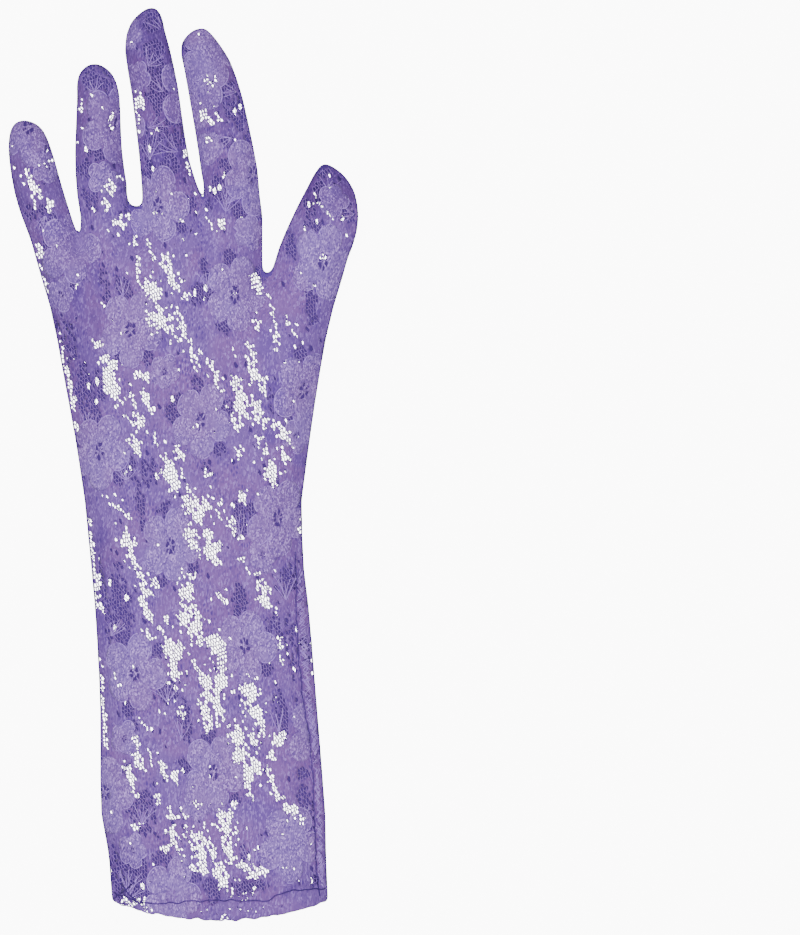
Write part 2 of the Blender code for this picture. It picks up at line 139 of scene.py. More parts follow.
# Windows, where both sides of the glove are open net: for each share open, place, width and length
WINDOWS = by_share(Mark, (
    (1.0, (166, 262, 9, 22), (173, 277, 14, 14), (177, 287, 6, 8), (185, 295, 8, 9), (111, 384, 13, 34),
     (253, 372, 10, 20), (262, 383, 8, 18), (240, 400, 14, 36), (173, 475, 15, 40), (193, 540, 12, 22),
     (214, 550, 16, 18), (216, 560, 7, 12), (187, 590, 16, 22), (190, 618, 20, 36), (173, 650, 16, 28),
     (175, 672, 7, 24), (211, 640, 10, 12), (220, 648, 14, 22), (222, 668, 10, 16), (222, 682, 14, 20),
     (208, 685, 14, 22), (216, 695, 16, 16), (219, 712, 10, 24), (250, 692, 18, 22), (257, 715, 16, 24),
     (238, 738, 14, 20), (241, 755, 14, 20), (248, 772, 12, 22), (256, 765, 8, 22), (226, 822, 16, 26),
     (228, 848, 8, 28), (222, 875, 12, 26), (254, 875, 20, 11)),
    (0.9, (34, 190, 9, 22), (50, 203, 9, 8), (109, 188, 10, 12), (215, 83, 8, 7), (203, 116, 6, 12),
     (210, 121, 6, 8), (208, 139, 7, 7), (155, 292, 13, 22), (160, 318, 14, 24), (172, 330, 8, 16),
     (97, 345, 8, 8), (105, 358, 8, 8), (113, 365, 8, 8), (252, 352, 5, 24), (237, 424, 10, 18),
     (259, 415, 12, 30), (284, 435, 7, 20), (272, 473, 9, 22), (180, 453, 8, 16), (208, 535, 8, 16),
     (134, 558, 4, 16), (139, 572, 6, 22), (146, 608, 7, 30), (198, 633, 5, 14), (140, 760, 8, 20),
     (131, 777, 6, 22), (163, 768, 7, 16), (175, 775, 6, 14), (158, 795, 6, 8), (172, 815, 5, 16),
     (175, 837, 7, 26), (205, 712, 10, 24), (210, 725, 14, 8), (262, 732, 5, 12), (254, 740, 5, 14),
     (248, 788, 8, 16), (231, 862, 4, 10), (200, 847, 14, 34), (211, 845, 6, 34), (204, 868, 8, 12),
     (275, 787, 5, 32), (270, 775, 5, 20), (287, 808, 6, 14), (296, 810, 8, 10)),
    (0.8, (107, 205, 5, 12), (218, 115, 5, 10), (170, 320, 5, 10), (183, 330, 5, 14), (181, 318, 5, 5),
     (150, 322, 4, 10), (147, 285, 4, 14), (193, 352, 5, 22), (200, 352, 3, 8), (212, 365, 5, 16),
     (217, 378, 6, 20), (139, 375, 8, 9), (146, 377, 8, 8), (147, 400, 6, 24), (137, 422, 12, 18),
     (136, 445, 7, 20), (222, 224, 8, 8), (257, 285, 9, 24), (275, 340, 4, 14), (256, 325, 8, 9),
     (236, 353, 5, 10), (239, 455, 5, 14), (267, 455, 4, 12), (157, 439, 4, 14), (185, 497, 5, 10),
     (198, 510, 18, 30), (208, 505, 5, 14), (148, 633, 3, 12), (167, 618, 3, 20), (161, 628, 4, 12),
     (117, 681, 4, 10), (137, 740, 5, 12), (150, 755, 3, 14), (186, 815, 5, 10), (195, 803, 6, 10),
     (195, 868, 6, 8), (263, 595, 9, 34), (309, 660, 3, 8), (278, 740, 12, 10), (272, 755, 5, 10),
     (301, 818, 4, 12), (243, 865, 5, 8), (246, 898, 10, 7)),
    (0.7, (275, 426, 10, 8), (243, 497, 8, 10), (304, 641, 9, 10)),
    (0.6, (259, 440, 8, 16), (283, 455, 6, 18), (127, 545, 14, 30), (148, 588, 14, 20), (137, 825, 8, 6),
     (165, 847, 10, 5)),
    (0.5, (120, 222, 12, 14)),
))

# Rows of single open meshes: for each share open, an end, the way to the other and the width
Streak = namedtuple("Streak", "x y over down width share")
STREAKS = by_share(Streak, (
    (0.8, (136, 238, 3, 44, 5), (147, 240, 8, 18, 4), (225, 518, 8, 14, 4), (240, 553, 10, 19, 4),
     (193, 660, 12, 20, 5), (140, 718, 8, 10, 4), (178, 710, 6, 6, 4), (88, 520, 9, 80, 6),
     (293, 712, 3, 9, 3), (300, 515, -1, 17, 4), (118, 176, 3, 5, 4), (98, 602, 4, 10, 4)),
    (0.7, (103, 496, 27, 22, 5), (68, 375, 9, 55, 4), (100, 655, 6, 93, 4), (306, 637, 3, 26, 4),
     (126, 901, 26, 10, 5), (184, 150, 5, 25, 4), (142, 95, 1, 12, 5), (285, 867, 8, 1, 4),
     (218, 593, 8, 9, 4)),
    (0.6, (205, 208, 7, 22, 4), (270, 295, 7, 40, 5), (38, 245, 8, 45, 6), (61, 340, 5, 40, 4),
     (80, 100, 1, 12, 4), (207, 76, 1, 22, 4), (197, 99, 8, 11, 4), (281, 640, 1, 22, 4)),
    (0.5, (131, 385, 5, 30, 5), (119, 395, 8, 30, 5), (187, 485, 14, 35, 5), (204, 911, 22, 6, 6),
     (231, 908, 31, 1, 6), (135, 90, 5, 40, 4), (321, 205, 12, 13, 5), (255, 572, 17, 20, 4)),
    (0.4, (180, 803, 8, 42, 4)),
    (0.35, (288, 320, 18, 25, 7), (214, 488, 26, 57, 6)),
    (0.3, (206, 470, 16, 50, 5), (20, 179, 32, -19, 4)),
    (0.25, (168, 290, 22, 50, 6)),
))

# Open net of the back alone, where the palm, painted darker as shade, shows through
DARK_NETS = by_share(Mark, (
    (1.0, (154, 60, 18, 44), (158, 92, 17, 50), (135, 80, 6, 22), (96, 88, 10, 16), (89, 147, 10, 22),
     (187, 46, 10, 14), (229, 86, 14, 10), (230, 142, 12, 18), (252, 175, 4, 8), (78, 238, 12, 9),
     (324, 172, 12, 14), (74, 280, 11, 20), (206, 271, 7, 22), (230, 259, 11, 18), (246, 887, 44, 11),
     (213, 890, 16, 26), (303, 773, 12, 13), (315, 883, 8, 12), (139, 886, 20, 36), (127, 290, 8, 20),
     (97, 420, 10, 14), (163, 510, 12, 14), (240, 518, 14, 40), (128, 640, 9, 12), (240, 600, 14, 26),
     (277, 625, 8, 40), (132, 725, 14, 10), (305, 830, 8, 14), (94, 408, 7, 26)),
    (0.9, (26, 128, 10, 10), (48, 222, 16, 30), (48, 248, 12, 26), (227, 189, 30, 30), (290, 245, 9, 28),
     (118, 282, 5, 14), (264, 868, 14, 10), (135, 868, 28, 18), (160, 858, 24, 15), (178, 412, 15, 36),
     (122, 605, 20, 80), (279, 826, 12, 20), (127, 466, 18, 24), (168, 691, 20, 20), (82, 376, 9, 22),
     (72, 350, 8, 24)),
    (0.8, (153, 22, 18, 22), (148, 152, 9, 50), (171, 166, 18, 28), (104, 75, 12, 8), (90, 171, 18, 18),
     (91, 198, 16, 28), (208, 205, 8, 14), (243, 212, 16, 20), (257, 217, 9, 10), (320, 190, 12, 20),
     (190, 204, 11, 16), (118, 874, 14, 52), (247, 860, 12, 24), (197, 295, 14, 20), (312, 310, 10, 30),
     (86, 398, 20, 46), (141, 505, 8, 50), (289, 580, 18, 30), (185, 720, 12, 40), (306, 811, 14, 52),
     (281, 712, 12, 50), (101, 385, 10, 26)),
    (0.7, (168, 134, 32, 44), (90, 78, 16, 24), (31, 213, 12, 12), (238, 112, 14, 40), (348, 213, 16, 22),
     (310, 213, 13, 26), (104, 600, 7, 80)),
    (0.6, (41, 171, 12, 16), (188, 68, 8, 22), (150, 470, 18, 30), (106, 285, 8, 54), (142, 810, 26, 40)),
    (0.5, (229, 112, 12, 36), (292, 650, 12, 60), (210, 470, 12, 22)),
    (0.4, (68, 345, 14, 70)),
    (0.35, (275, 400, 18, 44)),
))

# Drifts of the dye in the ground: violet below 0, pink above
TONES = tuple(Mark(*row) for row in (
    (199, 288, 18, 44, -1.0), (164, 344, 16, 28, -0.8), (266, 344, 20, 52, -0.8),
    (274, 388, 22, 62, -0.9), (271, 435, 16, 18, -0.9), (97, 275, 12, 64, -0.8), (134, 222, 10, 44, -0.9),
    (239, 511, 24, 52, -1.0), (299, 460, 16, 18, -0.9), (103, 533, 12, 26, -0.8),
    (103, 622, 12, 64, -0.8), (283, 713, 22, 44, -1.0), (266, 785, 18, 24, -0.8),
    (257, 808, 44, 32, -0.6), (159, 794, 32, 32, -0.5), (212, 886, 24, 16, -1.0),
    (131, 884, 32, 34, -1.0), (261, 861, 16, 34, -0.9), (225, 200, 44, 40, -0.9), (156, 70, 18, 92, -0.8),
    (165, 150, 30, 44, -0.8), (78, 300, 14, 60, -0.6), (312, 310, 12, 40, -0.7), (50, 225, 24, 40, -0.7),
    (198, 262, 22, 36, 0.9), (155, 266, 24, 32, 0.8), (123, 374, 14, 44, 0.7), (161, 400, 18, 30, 0.8),
    (115, 481, 22, 32, 0.8), (166, 473, 16, 44, 0.6), (229, 485, 32, 44, 0.9), (170, 597, 26, 44, 0.6),
    (229, 586, 32, 42, 0.9), (206, 652, 18, 24, 0.6), (222, 739, 22, 44, 0.8), (240, 843, 16, 44, 0.7),
    (185, 835, 16, 24, 0.6), (282, 498, 18, 20, 0.5), (318, 860, 12, 90, 0.9), (316, 700, 12, 200, 0.8),
    (92, 690, 20, 60, 0.5), (60, 330, 16, 60, 0.5),
))

# Where painted shade deepens the colour
SHADES = tuple(Mark(*row) for row in (
    (28, 165, 80, 140, 0.5), (98, 130, 70, 170, 0.5), (150, 55, 90, 150, 0.72),
    (165, 145, 70, 110, 0.5), (214, 80, 80, 150, 0.45), (228, 185, 60, 70, 0.35),
    (325, 185, 80, 80, 0.85), (70, 310, 80, 260, 0.45), (230, 892, 240, 44, 0.20),
    (125, 880, 50, 76, 0.70), (104, 570, 34, 160, 0.35), (238, 886, 66, 26, 0.5),
))

# Fans of ribs, light threads that run over the net: foot, direction, spread, ribs and length
Fan = namedtuple("Fan", "x y turn spread ribs length")
FANS = tuple(Fan(*row) for row in (
    (127, 480, 95, 90, 8, 20), (168, 702, 95, 90, 8, 20), (112, 636, 70, 80, 7, 18),
    (286, 600, 95, 70, 8, 26), (88, 432, 80, 70, 6, 22), (150, 160, 90, 60, 6, 26),
    (48, 238, 95, 60, 6, 22), (226, 212, 85, 80, 8, 24), (128, 892, 80, 80, 8, 26),
    (142, 824, 85, 80, 7, 20), (240, 536, 100, 50, 5, 26), (306, 826, 95, 50, 5, 22),
    (182, 738, 90, 50, 5, 22), (207, 290, 90, 60, 5, 18), (124, 296, 90, 50, 5, 18),
    (163, 32, 120, 70, 4, 18), (148, 66, 50, 80, 4, 18), (163, 92, 125, 60, 4, 18),
    (178, 152, 150, 80, 5, 24), (148, 128, 15, 60, 4, 22), (236, 92, 175, 60, 4, 14),
    (328, 192, 80, 80, 4, 18), (95, 92, 95, 90, 4, 14), (46, 216, 250, 50, 4, 20),
    (354, 214, 185, 70, 4, 14), (231, 138, 200, 60, 4, 16), (228, 204, 60, 80, 5, 22),
    (253, 872, 95, 40, 7, 30), (127, 900, 60, 60, 5, 24), (279, 732, 95, 40, 5, 24),
))


def chart_places(steps):
    """Places in metres of chart steps."""
    return (steps - np.array(CHART_MIDDLE)) * CHART_AXES


def chart_steps(places):
    """Chart steps of places in metres."""
    return places / CHART_AXES + CHART_MIDDLE


# The form of the glove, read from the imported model
def outer_skin(node, up):
    """Corners, outward faces and longest open rim of a node's upper or lower skin."""
    shell = bmesh.new()
    shell.from_mesh(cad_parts[node].data)
    bmesh.ops.remove_doubles(shell, verts=shell.verts, dist=1e-6)
    shell.normal_update()
    shell.verts.index_update()
    faces = [f for f in shell.faces if f.normal.z * up > 0.01]
    skin = set(faces)
    follow = {}
    for face in faces:
        for loop in face.loops:
            if sum(f in skin for f in loop.edge.link_faces) == 1:
                follow[loop.vert.index] = loop.link_loop_next.vert.index
    corners = [v.co.copy() for v in shell.verts]
    faces = [[v.index for v in f.verts] for f in faces]
    rims = []
    while follow:
        first, there = follow.popitem()
        rim = [first]
        while there != first and there in follow:
            rim.append(there)
            there = follow.pop(there)
        rims.append(np.array([corners[i][:2] for i in rim]))
    shell.free()
    return corners, faces, max(rims, key=lambda rim: np.ptp(rim, axis=0).sum())


def even_loop(loop, step):
    """A closed loop with its points a step apart."""
    closed = np.vstack((loop, loop[:1]))
    run = np.r_[0.0, np.cumsum(np.linalg.norm(np.diff(closed, axis=0), axis=1))]
    at = np.linspace(0.0, run[-1], max(8, int(run[-1] / step)), endpoint=False)
    return np.column_stack([np.interp(at, run, closed[:, k]) for k in range(loop.shape[1])])


def rounded_loop(loop, passes):
    """The loop with its small corners rounded."""
    for _ in range(passes):
        loop = (np.roll(loop, 1, axis=0) + 2.0 * loop + np.roll(loop, -1, axis=0)) / 4.0
    return loop


def within(points, loop):
    """Whether each point lies inside a closed loop."""
    inside = np.zeros(len(points), bool)
    x, y = points.T
    for (x0, y0), (x1, y1) in zip(loop, np.roll(loop, -1, axis=0)):
        spans = (y0 > y) != (y1 > y)
        inside[spans] ^= x[spans] < (x1 - x0) * (y[spans] - y0) / (y1 - y0) + x0
    return inside


def tree_of(points):
    """A search tree of places on the plan."""
    tree = KDTree(len(points))
    for i, point in enumerate(points):
        tree.insert((point[0], point[1], 0.0), i)
    tree.balance()
    return tree


def nearest(tree, points):
    """Index of the nearest point of the tree and the distance to it, for each point."""
    found = [tree.find((x, y, 0.0)) for x, y in points]
    return np.array([f[1] for f in found]), np.array([f[2] for f in found])


def filled_below(loop, level):
    """The loop with its part below a level made convex."""
    low = loop[:, 1] < level
    start = int(np.argmax(low & ~np.roll(low, 1)))
    loop, low = np.roll(loop, -start, axis=0), np.roll(low, -start)
    run = loop[low]
    return np.vstack((run[sorted(convex_hull_2d(run.tolist()))], loop[~low]))


def eased_hollows(loop):
    """The loop with the hollows between the fingers eased to round ones."""
    before, after = loop - np.roll(loop, 5, axis=0), np.roll(loop, -5, axis=0) - loop
    turn = before[:, 0] * after[:, 1] - before[:, 1] * after[:, 0]
    turn /= np.linalg.norm(before, axis=1) * np.linalg.norm(after, axis=1)
    ahead = np.roll(loop, -1, axis=0)
    turn *= np.sign((loop[:, 0] * ahead[:, 1] - loop[:, 1] * ahead[:, 0]).sum())
    hollow = turn < -0.5
    hollow = sum(np.roll(hollow, k) for k in range(-4, 5)) > 0
    for _ in range(12):
        loop = np.where(hollow[:, None], rounded_loop(loop, 1), loop)
    return loop


# Steps and reach where the outlines of panel and hem join, and levels along the glove
JOIN_STEP = 0.0005
FINE_STEP = 0.0003
JOIN_REACH = 0.0009
LOOSE_STEP = 0.0008
OUTLINE_STEP = 0.0004
HEM_LEVEL = -0.160
MOUTH_LEVEL = -0.166
FOREARM_TOP = -0.020


def whole_outline():
    """Outline of the whole glove with the hem, and whether each point is on the mouth's edge."""
    panel = outer_skin("back_panel", 1)[2]
    hem = outer_skin("cuff_hem", 1)[2]
    runs = []
    for loop, other in ((panel, hem), (hem, panel)):
        loop = even_loop(loop, JOIN_STEP)
        away = nearest(tree_of(even_loop(other, FINE_STEP)), loop)[1] > JOIN_REACH
        start = int(np.argmax(away & ~np.roll(away, 1)))
        runs.append(np.roll(loop, -start, axis=0)[np.roll(away, -start)])
    loop = filled_below(np.vstack(runs), HEM_LEVEL)
    loop = rounded_loop(even_loop(loop, LOOSE_STEP), 4)
    loop = even_loop(eased_hollows(loop), OUTLINE_STEP)
    along = np.roll(loop, -4, axis=0) - np.roll(loop, 4, axis=0)
    mouth = (loop[:, 1] < MOUTH_LEVEL) & (np.abs(along[:, 0]) > 1.5 * np.abs(along[:, 1]))
    ragged = [noise.noise(Vector((MOUTH_RAGS * x, 0.0, 4.0))) for x in loop[mouth, 0]]
    loop[mouth, 1] += MOUTH_WANDER * np.array(ragged)
    return loop, mouth


outline, on_mouth = whole_outline()
outline_tree = tree_of(outline)
grid_low = outline.min(axis=0) - GRID_MARGIN
grid_count = np.ceil((outline.max(axis=0) + GRID_MARGIN - grid_low) / HEIGHT_PITCH).astype(int) + 1


def with_neighbours(grid):
    """Sum of each cell of a grid and the eight round it."""
    return sum(np.roll(grid, (i, j), axis=(0, 1)) for i in (-1, 0, 1) for j in (-1, 0, 1))


def height_grid(nodes, up):
    """Height of the outward skin over a grid of places, smoothed away from the edge."""
    trees = [BVHTree.FromPolygons(*outer_skin(node, up)[:2]) for node in nodes]
    places = grid_low + HEIGHT_PITCH * np.indices(grid_count).reshape(2, -1).T
    inside = within(places, outline)
    heights = np.full(len(places), np.nan)
    down = Vector((0.0, 0.0, -up))
    for i in np.flatnonzero(inside):
        for tree in trees:
            hit = tree.ray_cast(Vector((*places[i], 0.1 * up)), down)[0]
            if hit is not None:
                heights[i] = hit.z
                break
    rim, away = nearest(outline_tree, places)
    heights, inside, away, near_mouth = (
        values.reshape(grid_count) for values in (heights, inside, away, on_mouth[rim]))
    heights[~inside & ~near_mouth] = SEAM_LEVEL + EDGE_PARTING * up
    for _ in range(60):
        gaps = np.isnan(heights)
        if not gaps.any():
            break
        total, count = with_neighbours(np.where(gaps, 0.0, heights)), with_neighbours(~gaps)
        fill = gaps & (count > 0)
        heights[fill] = total[fill] / count[fill]
    deep = (away > EDGE_ZONE) & inside
    for _ in range(5):
        heights = np.where(deep, with_neighbours(heights) / 9.0, heights)
    return heights


heights_of = {
    1: height_grid(("back_panel", "cuff_hem"), 1),
    -1: height_grid(("palm_panel", "cuff_hem"), -1),
}


def lay(places, up, lift=0.0, on_rim=None):
    """Points on the lace of one side over the given places, lifted outwards from its ground."""
    grid = heights_of[up]
    at = (places - grid_low) / HEIGHT_PITCH
    cell = np.clip(np.floor(at).astype(int), 0, np.array(grid.shape) - 2)
    part = np.clip(at - cell, 0.0, 1.0)
    (i, j), (u, v) = cell.T, part.T
    z = ((1 - u) * (1 - v) * grid[i, j] + u * (1 - v) * grid[i + 1, j]
         + (1 - u) * v * grid[i, j + 1] + u * v * grid[i + 1, j + 1])
    z = z + up * (lift - SINK)
    if on_rim is not None:
        z = np.where(on_rim, SEAM_LEVEL + up * (0.0001 + 0.5 * lift), z)
    return np.column_stack((places, z))


# Reading the chart
def field(steps, size, seed, lean=MESH_LEAN):
    """A wandering value, about -1 to 1, at each place of the chart, drawn out along the lean."""
    c, s = math.cos(lean) / size[0], math.sin(lean) / size[0]
    d, e = math.sin(lean) / size[1], math.cos(lean) / size[1]
    return 1.6 * np.array([
        noise.noise(Vector((x * c - y * s, x * d + y * e, seed))) for x, y in steps])


def depth_in(steps, marks, lean=15.0, spread=0.0):
    """How deep each place lies in the marks, 1 at a middle and 0 at an edge, and the share there."""
    depth = np.full(len(steps), -9.0)
    share = np.ones(len(steps))
    c, s = math.cos(math.radians(lean)), math.sin(math.radians(lean))
    for m in marks:
        dx, dy = (steps - (m.x, m.y)).T
        across, along = dx * c - dy * s, dx * s + dy * c
        d = 1.0 - np.hypot(across / (m.width / 2 + spread), along / (m.length / 2 + spread))
        share = np.where(d > depth, m.share, share)
        depth = np.maximum(depth, d)
    return depth, share


def streak_share(steps):
    """Share of open meshes that the streaks ask for at each place."""
    share = np.zeros(len(steps))
    for m in STREAKS:
        start, run = np.array((m.x, m.y)), np.array((m.over, m.down), float)
        t = np.clip((steps - start) @ run / (run @ run), 0.0, 1.0)
        away = np.linalg.norm(steps - start - t[:, None] * run, axis=1)
        share = np.where(away < m.width / 2, np.maximum(share, m.share), share)
    return share


def past_side_seam(steps):
    """Whether each place lies between the side seam's stitches and the glove's edge."""
    line = np.array(SIDE_STITCHES).T
    return (steps[:, 1] > line[1, 0]) & (steps[:, 0] > np.interp(steps[:, 1], *line[::-1]))


def window_open(steps):
    """Whether both sides are open at each place."""
    depth, share = depth_in(steps, WINDOWS, 19.0, 0.6)
    ragged = field(steps, (3.4, 14.0), 3.0, WINDOW_LEAN)
    chance = field(steps, (2.0, 9.0), 11.0, WINDOW_LEAN) * 0.5 + 0.5
    inside = (depth + 0.55 * ragged > 0.04) & (chance < share * 0.55 + 0.31)
    fringe = (depth > -0.9) & (chance < 0.31 + 0.14 * depth)
    streaks = streak_share(steps)
    streaked = (streaks > 0) & (chance < 0.26 + 0.5 * streaks)
    return inside | streaked | (fringe | (chance < 0.003)) & ~net_open(steps)


def eye_open(steps):
    """Whether each place lies in the eye of a flower, where the ground is cut away."""
    eyes = [Mark(x, y, *(2.3 * np.array(EYE_SHARE) * reach), 1.0)
            for flowers, reach in ((MAIN_FLOWERS, MAIN_REACH), (SMALL_FLOWERS, SMALL_REACH))
            for x, y in flowers]
    return depth_in(steps, eyes, 0.0)[0] > 0.0


def flower_turn(place):
    """How far a flower is turned, by its place in the chart."""
    return math.radians(7.0) * math.sin(0.37 * place[0] + 0.61 * place[1])


def notch_marks():
    """Nets between the petals of the main flowers: always at the top, elsewhere now and then."""
    nets = []
    for i, (x, y) in enumerate(MAIN_FLOWERS):
        for k in range(5):
            if k == 0 or (3 * i + 2 * k) % 5 < 3:
                a = math.radians(102.0 + 72.0 * k) + flower_turn((x, y))
                nets.append(Mark(x + 0.92 * MAIN_REACH[0] * math.cos(a),
                                 y - 0.92 * MAIN_REACH[1] * math.sin(a), 12, 15, 0.9))
    return tuple(nets)


OPEN_NETS = DARK_NETS + notch_marks()


def net_open(steps):
    """Whether the back alone is open at each place."""
    depth, share = depth_in(steps, OPEN_NETS, 8.0)
    ragged = field(steps, (9.0, 12.0), 5.0)
    chance = field(steps, (2.6, 3.6), 17.0) * 0.5 + 0.5
    return (depth + 0.35 * ragged > -0.05) & (chance < share * 0.7 + 0.15) | (chance < 0.004)


def sheerness(steps):
    """How much the closed ground shows its net, from 0 to 1."""
    depth = depth_in(steps, OPEN_NETS, 8.0, 6.0)[0]
    patches = field(steps, (18.0, 28.0), 9.0)
    return np.clip(np.maximum(1.6 * depth + 0.5, 1.6 * patches + 0.15), 0.0, 1.0)


def dye_drift(steps):
    """Drift of the dye at each place, from violet, -1, to pink, 1."""
    drift = 0.35 * field(steps, (30.0, 44.0), 13.0)
    for m in TONES:
        depth = depth_in(steps, [m], 12.0, 3.0)[0]
        drift = drift + m.share * np.clip(1.6 * depth, 0.0, 1.0)
    return np.clip(drift, -1.0, 1.0)


def shading(steps):
    """How much painted shade deepens the colour at each place, most in the fingers and along the edges.
    """
    deeper = np.zeros(len(steps))
    for m in SHADES:
        deeper = np.maximum(deeper, m.share * np.clip(2.5 * depth_in(steps, [m], 10.0)[0], 0.0, 1.0))
    # Painted shade along the edges, where the surface turns from the light
    away = nearest(outline_tree, chart_places(steps))[1]
    edge = np.clip(1.0 - away / EDGE_ZONE, 0.0, 1.0)
    return np.clip(deeper + 0.3 * edge + 0.15 * field(steps, (16.0, 22.0), 23.0), 0.0, 1.0)


def chart_values(piece, sheer_share, shade_share):
    """Keeps what the chart says about the dye, the sheer net and the painted shade at each corner
    of a piece, for its material.
    """
    steps = chart_steps(np.array([v.co[:2] for v in piece.data.vertices]))
    note_on(piece, "POINT", dye=dye_drift(steps), sheer=sheer_share * sheerness(steps),
            shade=shade_share * shading(steps))


# Making meshes
def in_scene(name, data):
    """A new object in the scene."""
    thing = bpy.data.objects.new(name, data)
    bpy.context.scene.collection.objects.link(thing)
    return thing


def new_piece(name, corners, faces, material):
    data = bpy.data.meshes.new(name)
    data.from_pydata([tuple(c) for c in corners], [], [tuple(f) for f in faces])
    data.validate()
    data.shade_smooth()
    data.materials.append(material)
    data.update()
    return in_scene(name, data)


def finish_with(piece, kind, **settings):
    """Adds a modifier with its settings and applies it."""
    modifier = piece.modifiers.new(kind.title(), kind)
    for name, value in settings.items():
        setattr(modifier, name, value)
    bpy.context.view_layer.objects.active = piece
    bpy.ops.object.modifier_apply(modifier=modifier.name)


def note_on(piece, domain, **values):
    """Keeps values for each corner or face on a piece, for its material to read."""
    for name, numbers in values.items():
        layer = piece.data.attributes.new(name, "FLOAT", domain)
        layer.data.foreach_set("value", np.asarray(numbers, np.float32))


class Gather:
    """Corners and faces of many small pieces that become one mesh."""

    def __init__(self):
        self.corners, self.faces, self.count = [], [], 0

    def add(self, corners, faces):
        self.corners.append(np.asarray(corners, float))
        self.faces.extend([[i + self.count for i in face] for face in faces])
        self.count += len(corners)

    def piece(self, name, material):
        return new_piece(name, np.vstack(self.corners), self.faces, material)


def faces_between(rows, count, closed=False):
    """Faces along rows of corners and the row after the last, closed round where they join."""
    row, k = (a.ravel() for a in np.indices((rows, count if closed else count - 1)))
    here, ahead = row * count + k, row * count + (k + 1) % count
    return np.column_stack((here, ahead, ahead + count, here + count))


def add_cord(gather, line, radius, sides=5, closed=False):
    """A round cord along a line of points, with closed ends."""
    n = len(line)
    run = np.roll(line, -1, axis=0) - np.roll(line, 1, axis=0) if closed else np.gradient(line, axis=0)
    run /= np.maximum(np.linalg.norm(run, axis=1, keepdims=True), 1e-9)
    side = np.cross(run, (0.0, 0.0, 1.0))
    side /= np.maximum(np.linalg.norm(side, axis=1, keepdims=True), 1e-9)
    over = np.cross(side, run)
    turns = 2 * math.pi * np.arange(sides) / sides
    rings = line[:, None] + radius * (
        np.cos(turns)[:, None] * side[:, None] + np.sin(turns)[:, None] * over[:, None])
    faces = (faces_between(n if closed else n - 1, sides, True) % (n * sides)).tolist()
    if not closed:
        faces += [range(sides)[::-1], range((n - 1) * sides, n * sides)]
    gather.add(rings.reshape(-1, 3), faces)


def runs_of(keep, closed=False):
    """Runs of indices where keep is true, each with whether it closes on itself."""
    order = np.arange(len(keep))
    if closed and keep.all():
        return [(order, True)]
    if closed:
        order = np.roll(order, -int(np.argmax(~keep)))
    runs = np.split(order, np.flatnonzero(np.diff(keep[order])) + 1)
    return [(run, False) for run in runs if keep[run[0]] and len(run) > 3]


# Materials
def tone(code):
    """A hex sRGB colour as linear red, green, blue and alpha."""
    parts = [int(code[k:k + 2], 16) / 255 for k in (1, 3, 5)]
    return [p / 12.92 if p <= 0.04045 else ((p + 0.055) / 1.055) ** 2.4 for p in parts] + [1.0]


def feed(tree, node, inputs):
    """Gives a node's inputs numbers, hex colours or other nodes' outputs."""
    for name, value in inputs.items():
        if isinstance(value, bpy.types.NodeSocket):
            tree.links.new(value, node.inputs[name])
        else:
            node.inputs[name].default_value = tone(value) if isinstance(value, str) else value


def add(tree, kind, output, inputs=None, **settings):
    """Adds a node with its settings and inputs, for one of its outputs."""
    node = tree.nodes.new(kind)
    for name, value in settings.items():
        setattr(node, name, value)
    feed(tree, node, inputs or {})
    return node.outputs[output]


def dyed_over(tree, colour, upper, amount, ends=None, share=None, how="MIX"):
    """A colour with another dyed over it by an amount, which is stretched between two ends and
    multiplied by a share where these are given."""
    if ends:
        amount = add(tree, "ShaderNodeMapRange", "Result", {
            "Value": amount, "From Min": ends[0], "From Max": ends[1]})
    if share:
        amount = add(tree, "ShaderNodeMath", "Value", {0: amount, 1: share}, operation="MULTIPLY")
    return add(tree, "ShaderNodeMix", "Result", {"Factor": amount, "A": colour, "B": upper},
               data_type="RGBA", blend_type=how)


def new_material(name):
    """A material, its nodes and the place on the piece."""
    material = bpy.data.materials.new(name)
    material.use_nodes = True
    tree = material.node_tree
    return material, tree, add(tree, "ShaderNodeTexCoord", "Object")


# Dye of a thread: plain colour, drifts to violet and pink, deep grains, and light specks painted as
# highlights
Dye = namedtuple("Dye", "plain violet pink deep speck")
# Multiplied into the colour where the chart's shade says so: painted shade
PAINTED_SHADE_TINT = "#baacc8"
WEAVE_TURN = math.radians(38.0)
WEAVE_PATCH = 0.0085


